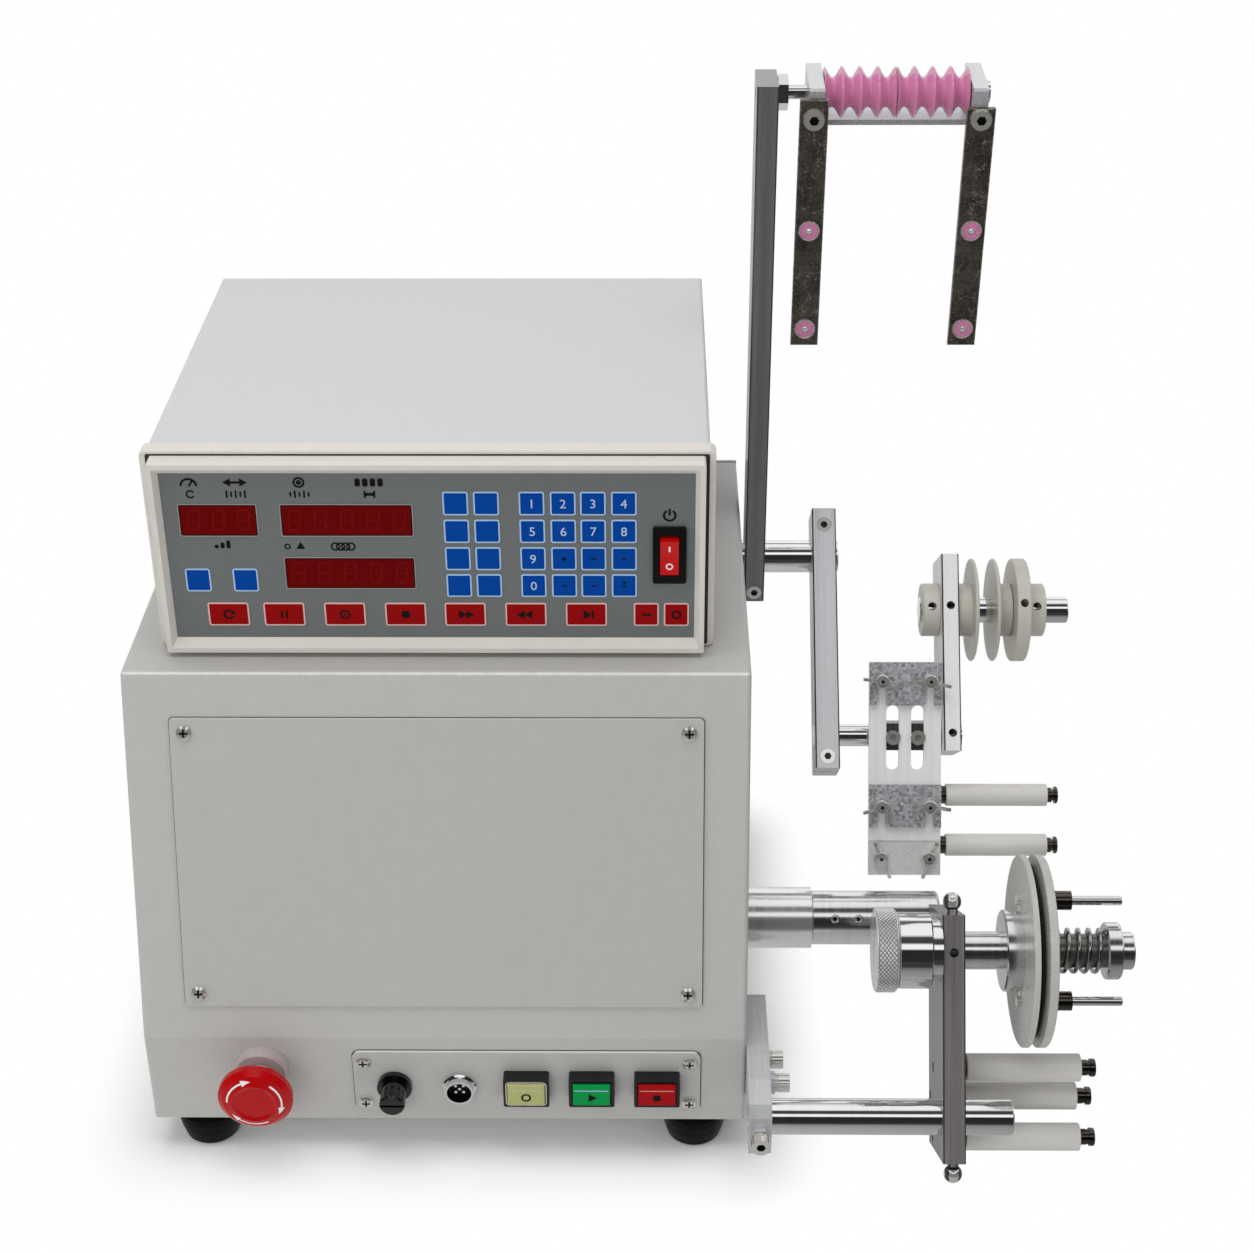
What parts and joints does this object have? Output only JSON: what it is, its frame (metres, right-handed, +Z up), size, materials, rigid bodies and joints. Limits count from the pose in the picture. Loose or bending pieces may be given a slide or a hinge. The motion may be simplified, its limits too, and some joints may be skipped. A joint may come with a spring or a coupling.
{
  "type": "bobbin winding machine",
  "caption": "Benchtop coil and bobbin winding machine: grey sheet case with control box, side winding spindle, wire guides on clamped arms, and a spring loaded tension wheel.",
  "frame": {"origin": "On the bench plane, under the middle of the case's footprint.", "axes": "+X is to the right, the side with the winding spindle; +Y is to the back; +Z is up."},
  "size_m": [0.529, 0.3696, 0.5372],
  "materials": {
    "case_paint": "fine textured light grey powder coat",
    "control_box_paint": "smooth light grey paint",
    "bezel_plastic": "satin warm grey moulding",
    "panel_film": "dark grey overlay with coloured key fields",
    "switch_black": "glossy black",
    "signal_red": "glossy red",
    "lamp_cream": "translucent cream",
    "lamp_green": "translucent green",
    "button_frame": "glossy black frame",
    "collar_paint": "satin grey collar",
    "black_rubber": "matt black",
    "bakelite": "glossy black",
    "bright_steel": "bright ground and polished",
    "screw_steel": "bright nickel plate",
    "arm_aluminium": "brushed and drawn",
    "plate_aluminium": "bright milled",
    "zinc_plate": "mottled zinc and felt",
    "dark_nickel": "dark mottled nickel plate",
    "pink_ceramic": "glazed pink",
    "nylon": "smooth white nylon",
    "beige_plastic": "smooth ivory plastic",
    "wheel_plastic": "smooth warm grey",
    "steel_dark": "dark machined steel",
    "spring_steel": "bright drawn wire",
    "motor_paint": "black paint",
    "belt_rubber": "matt black belt"
  },
  "bodies": {
    "case": {"case_shell": "case_paint", "base_plate": "case_paint", "rear_cover": "case_paint", "front_plate": "case_paint", "instrument_plate": "case_paint", "panel_screws": "screw_steel", "rubber_feet": "black_rubber", "fuse_holder": "bakelite", "pedal_socket": "bright_steel", "button_housings": "button_frame", "estop_base": "collar_paint", "controller_cover": "control_box_paint", "controller_tray": "control_box_paint", "controller_bezel": "bezel_plastic", "control_panel": "panel_film", "spindle_sleeve": "bright_steel", "drive_motor": "motor_paint", "drive_belt": "belt_rubber", "power_supply": "steel_dark", "upper_shaft": "bright_steel", "shaft_bracket": "plate_aluminium", "lower_shaft": "bright_steel"},
    "fuse_cap": {"fuse_cap": "bakelite"},
    "mode_button": {"mode_button": "lamp_cream"},
    "start_button": {"start_button": "lamp_green"},
    "stop_button": {"stop_button": "signal_red"},
    "estop_stem": {"estop_stem": "collar_paint"},
    "estop_head": {"estop_head": "signal_red"},
    "power_rocker": {"power_rocker": "signal_red"},
    "spindle": {"winding_spindle": "bright_steel"},
    "motor_rotor": {"motor_pulley": "steel_dark"},
    "long_arm": {"long_arm": "arm_aluminium", "guide_axle": "bright_steel"},
    "guide_fork": {"guide_fork": "arm_aluminium", "hanging_bars": "dark_nickel"},
    "ceramic_roller_left": {"ceramic_roller_left": "pink_ceramic"},
    "ceramic_roller_right": {"ceramic_roller_right": "pink_ceramic"},
    "middle_arm": {"middle_arm": "arm_aluminium", "middle_shaft": "bright_steel"},
    "plate_carrier": {"plate_carrier": "steel_dark"},
    "slotted_plate": {"slotted_plate": "plate_aluminium", "roller_block": "steel_dark", "clamp_plates": "zinc_plate", "wing_bolts": "screw_steel"},
    "plate_roller_upper": {"plate_roller_upper": "nylon"},
    "plate_roller_lower": {"plate_roller_lower": "nylon"},
    "guide_arm": {"guide_arm": "plate_aluminium", "guide_shaft": "beige_plastic"},
    "guide_flange_left": {"guide_flange_left": "beige_plastic"},
    "guide_flange_right": {"guide_flange_right": "beige_plastic"},
    "tension_arm": {"tension_arm": "arm_aluminium", "brake_drum": "bright_steel"},
    "lower_roller_upper": {"lower_roller_upper": "nylon"},
    "lower_roller_back": {"lower_roller_back": "nylon"},
    "lower_roller_low": {"lower_roller_low": "nylon"},
    "brake_knob": {"brake_knob": "bright_steel"},
    "tension_wheel": {"tension_shaft": "bright_steel", "wheel_hub": "wheel_plastic", "tension_spring": "spring_steel"},
    "outer_disc": {"outer_disc": "wheel_plastic"}
  },
  "joints": [
    {"name": "fuse_cap_twist", "type": "hinge", "parent": "case", "child": "fuse_cap", "pos_m": [-0.0284, -0.167, 0.0475], "axis": [0, -1, 0], "range_deg": [0, 90]},
    {"name": "mode_button_press", "type": "slide", "parent": "case", "child": "mode_button", "axis": [0, 1, 0], "range_m": [0, 0.0025], "stiffness_N_per_m": 800, "springref_m": -0.001},
    {"name": "start_button_press", "type": "slide", "parent": "case", "child": "start_button", "axis": [0, 1, 0], "range_m": [0, 0.0025], "stiffness_N_per_m": 800, "springref_m": -0.001},
    {"name": "stop_button_press", "type": "slide", "parent": "case", "child": "stop_button", "axis": [0, 1, 0], "range_m": [0, 0.0025], "stiffness_N_per_m": 800, "springref_m": -0.001},
    {"name": "estop_push", "type": "slide", "parent": "case", "child": "estop_stem", "axis": [0, 1, 0], "range_m": [0, 0.004], "stiffness_N_per_m": 1500, "springref_m": -0.002},
    {"name": "estop_twist", "type": "hinge", "parent": "estop_stem", "child": "estop_head", "pos_m": [-0.1, -0.1705, 0.0585], "axis": [0, -1, 0], "range_deg": [0, 45], "stiffness_Nm_per_rad": 0.05},
    {"name": "power_switch", "type": "hinge", "parent": "case", "child": "power_rocker", "pos_m": [0.1201, -0.0779, 0.3365], "axis": [1, 0, 0], "range_deg": [-14, 0]},
    {"name": "spindle_spin", "type": "hinge", "parent": "case", "child": "spindle", "pos_m": [0.2, -0.0655, 0.0955], "axis": [1, 0, 0], "continuous": true},
    {"name": "motor_spin", "type": "hinge", "parent": "case", "child": "motor_rotor", "pos_m": [0.08, 0.0465, 0.067], "axis": [1, 0, 0], "continuous": true},
    {"name": "long_arm_swing", "type": "hinge", "parent": "case", "child": "long_arm", "pos_m": [0.1658, 0.0875, 0.245], "axis": [1, 0, 0], "range_deg": [-20, 40]},
    {"name": "guide_fork_tilt", "type": "hinge", "parent": "long_arm", "child": "guide_fork", "pos_m": [0.24, 0.0875, 0.5239], "axis": [1, 0, 0], "range_deg": [-30, 30]},
    {"name": "ceramic_left_spin", "type": "hinge", "parent": "long_arm", "child": "ceramic_roller_left", "pos_m": [0.22, 0.0875, 0.5239], "axis": [1, 0, 0], "continuous": true},
    {"name": "ceramic_right_spin", "type": "hinge", "parent": "long_arm", "child": "ceramic_roller_right", "pos_m": [0.26, 0.0875, 0.5239], "axis": [1, 0, 0], "continuous": true},
    {"name": "middle_arm_swing", "type": "hinge", "parent": "case", "child": "middle_arm", "pos_m": [0.21, 0.0875, 0.245], "axis": [1, 0, 0], "range_deg": [-20, 12]},
    {"name": "plates_swing", "type": "hinge", "parent": "middle_arm", "child": "plate_carrier", "pos_m": [0.257, 0.01432, 0.16653], "axis": [1, 0, 0], "range_deg": [-5, 20]},
    {"name": "plate_height", "type": "slide", "parent": "plate_carrier", "child": "slotted_plate", "axis": [0, 0.4695, 0.8829], "range_m": [-0.009, 0.009]},
    {"name": "plate_roller_upper_spin", "type": "hinge", "parent": "slotted_plate", "child": "plate_roller_upper", "pos_m": [0.3, -0.00425, 0.13756], "axis": [1, 0, 0], "continuous": true},
    {"name": "plate_roller_lower_spin", "type": "hinge", "parent": "slotted_plate", "child": "plate_roller_lower", "pos_m": [0.3, -0.01792, 0.11186], "axis": [1, 0, 0], "continuous": true},
    {"name": "guide_arm_swing", "type": "hinge", "parent": "middle_arm", "child": "guide_arm", "pos_m": [0.283, 0.01432, 0.16653], "axis": [1, 0, 0], "range_deg": [-20, 5]},
    {"name": "flange_left_spin", "type": "hinge", "parent": "guide_arm", "child": "guide_flange_left", "pos_m": [0.295, 0.05913, 0.22492], "axis": [1, 0, 0], "continuous": true},
    {"name": "flange_right_spin", "type": "hinge", "parent": "guide_arm", "child": "guide_flange_right", "pos_m": [0.312, 0.05913, 0.22492], "axis": [1, 0, 0], "continuous": true},
    {"name": "tension_arm_swing", "type": "hinge", "parent": "case", "child": "tension_arm", "pos_m": [0.27, -0.1815, 0.053], "axis": [1, 0, 0], "range_deg": [-6, 20]},
    {"name": "lower_roller_upper_spin", "type": "hinge", "parent": "tension_arm", "child": "lower_roller_upper", "pos_m": [0.31, -0.14528, 0.05548], "axis": [1, 0, 0], "continuous": true},
    {"name": "lower_roller_back_spin", "type": "hinge", "parent": "tension_arm", "child": "lower_roller_back", "pos_m": [0.31, -0.14341, 0.03356], "axis": [1, 0, 0], "continuous": true},
    {"name": "lower_roller_low_spin", "type": "hinge", "parent": "tension_arm", "child": "lower_roller_low", "pos_m": [0.31, -0.16242, 0.02126], "axis": [1, 0, 0], "continuous": true},
    {"name": "brake_knob_turn", "type": "hinge", "parent": "tension_arm", "child": "brake_knob", "pos_m": [0.235, -0.13487, 0.12763], "axis": [1, 0, 0], "range_deg": [-180, 180]},
    {"name": "tension_wheel_spin", "type": "hinge", "parent": "tension_arm", "child": "tension_wheel", "pos_m": [0.31, -0.13487, 0.12763], "axis": [1, 0, 0], "continuous": true},
    {"name": "outer_disc_slide", "type": "slide", "parent": "tension_wheel", "child": "outer_disc", "axis": [1, 0, 0], "range_m": [0, 0.003], "stiffness_N_per_m": 3000, "springref_m": -0.002, "deforming": ["tension_spring"]}
  ],
  "couplings": [
    {"joint": "motor_spin", "follows": "spindle_spin", "ratio": 1}
  ]
}
